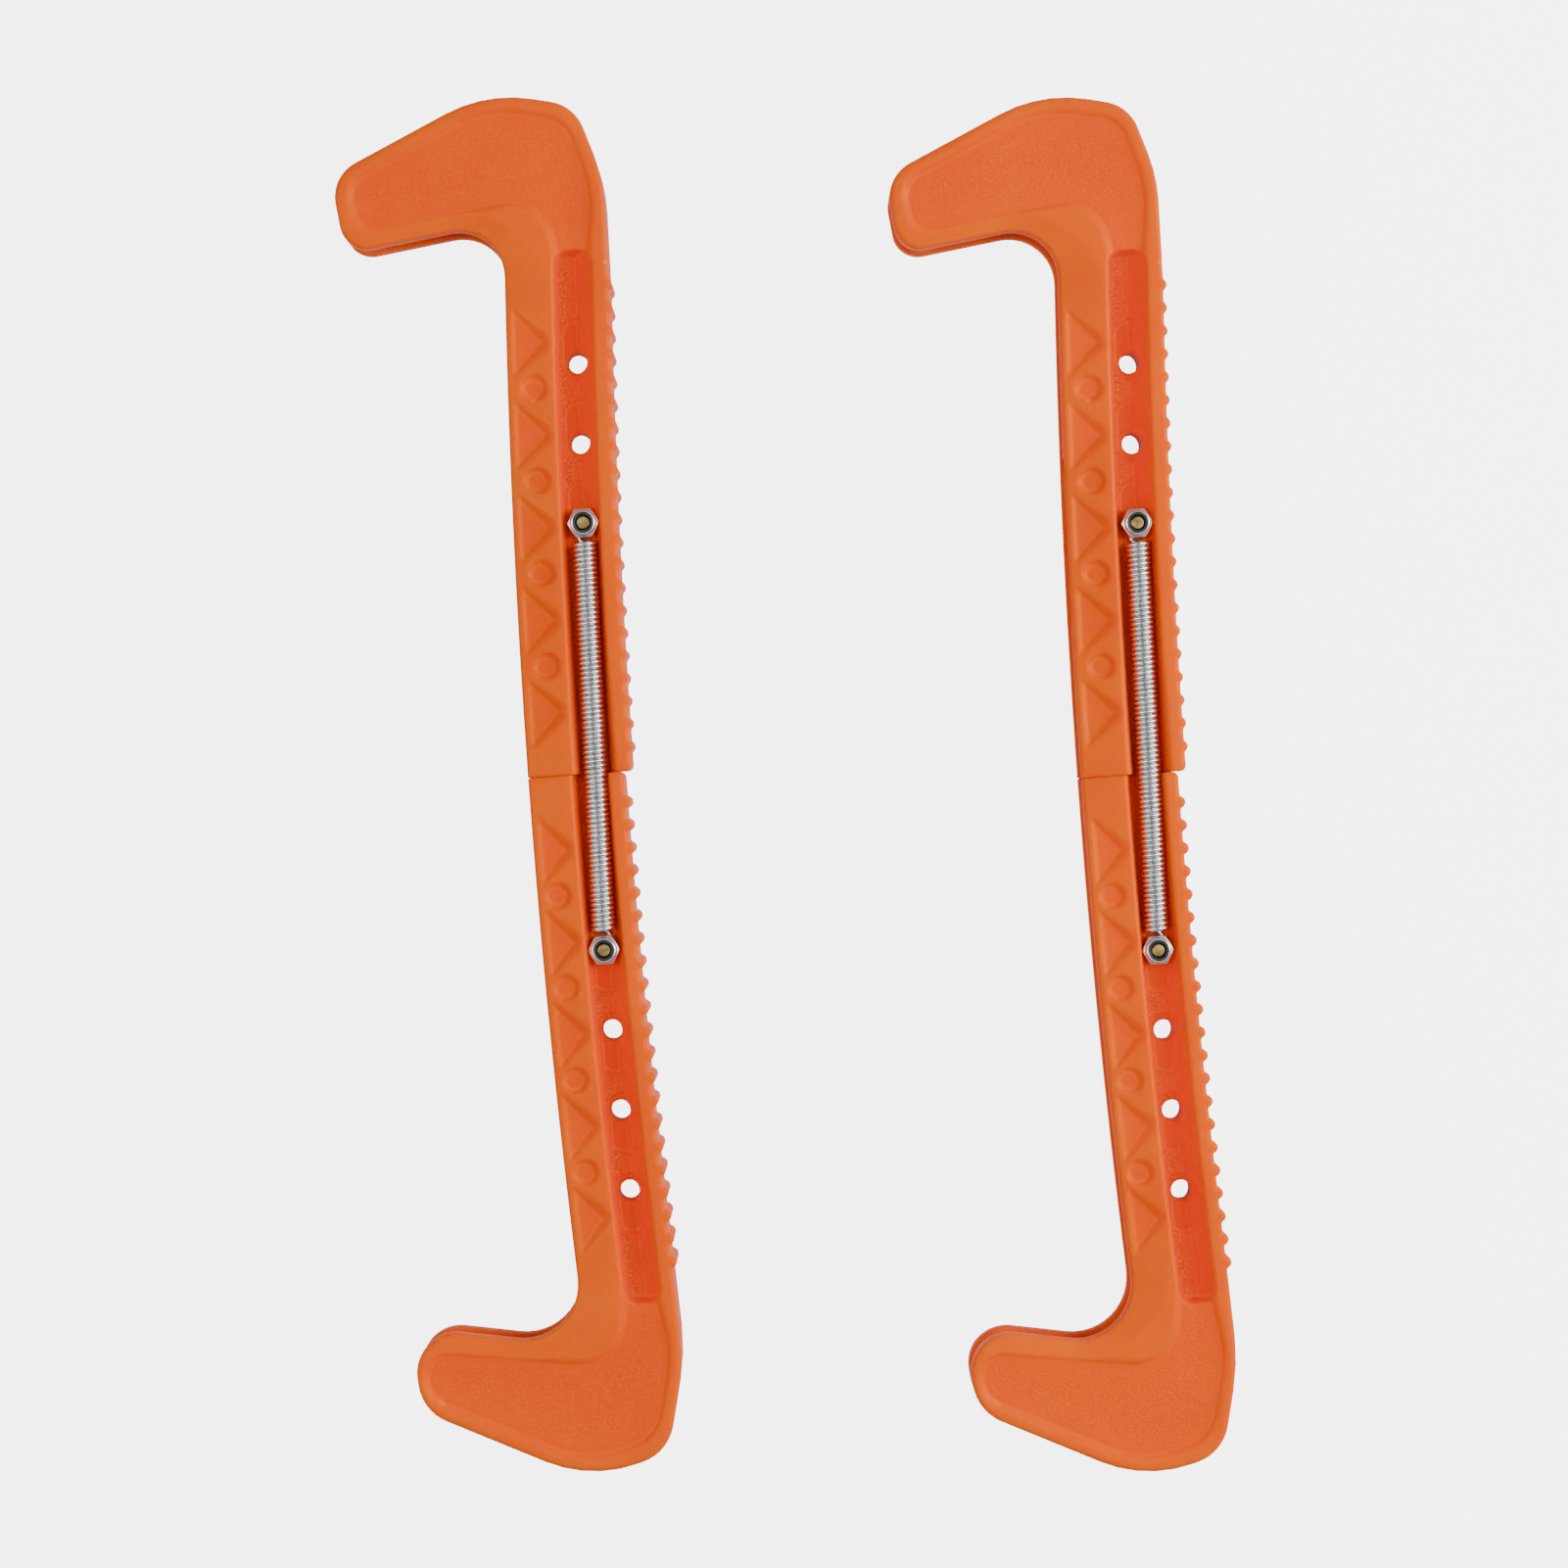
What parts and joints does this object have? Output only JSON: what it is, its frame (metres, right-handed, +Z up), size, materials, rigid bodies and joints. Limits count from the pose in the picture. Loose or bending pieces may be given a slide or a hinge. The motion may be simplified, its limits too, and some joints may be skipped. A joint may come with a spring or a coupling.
{
  "type": "skate blade guards",
  "caption": "Spring-loaded skate blade guards in two telescoping hooked halves, with a blade channel and a ribbed walking tread.",
  "frame": {"origin": "middle of the pair's footprint, on the surface that the guards lie on", "axes": "+Z up, out of the side that faces away from the surface; +Y along the blades, heel to toe; +X from the open blade channel to the walking tread"},
  "size_m": [0.1601, 0.2744, 0.014],
  "materials": {
    "shell_plastic": "satin",
    "spring_steel": "bright",
    "bright_zinc": "bright",
    "yellow_zinc": "satin",
    "black_nylon": "matte"
  },
  "bodies": {
    "left_toe_half": {"left_toe_shell": "shell_plastic", "left_near_spring": "spring_steel", "left_far_spring": "spring_steel", "left_toe_bolt": "yellow_zinc", "left_toe_nut": "bright_zinc", "left_toe_nut_insert": "black_nylon"},
    "left_heel_half": {"left_heel_shell": "shell_plastic", "left_heel_bolt": "yellow_zinc", "left_heel_nut": "bright_zinc", "left_heel_nut_insert": "black_nylon"},
    "right_toe_half": {"right_toe_shell": "shell_plastic", "right_near_spring": "spring_steel", "right_far_spring": "spring_steel", "right_toe_bolt": "yellow_zinc", "right_toe_nut": "bright_zinc", "right_toe_nut_insert": "black_nylon"},
    "right_heel_half": {"right_heel_shell": "shell_plastic", "right_heel_bolt": "yellow_zinc", "right_heel_nut": "bright_zinc", "right_heel_nut_insert": "black_nylon"}
  },
  "joints": [
    {"name": "left_length_slide", "type": "slide", "parent": "left_toe_half", "child": "left_heel_half", "axis": [0, -1, 0], "range_m": [0, 0.038], "stiffness_N_per_m": 900, "springref_m": -0.006, "deforming": ["left_near_spring", "left_far_spring"]},
    {"name": "right_length_slide", "type": "slide", "parent": "right_toe_half", "child": "right_heel_half", "axis": [0, -1, 0], "range_m": [0, 0.038], "stiffness_N_per_m": 900, "springref_m": -0.006, "deforming": ["right_near_spring", "right_far_spring"]},
    {"name": "pair_spread", "type": "slide", "parent": "left_toe_half", "child": "right_toe_half", "axis": [1, 0, 0], "range_m": [0, 0.04]}
  ]
}
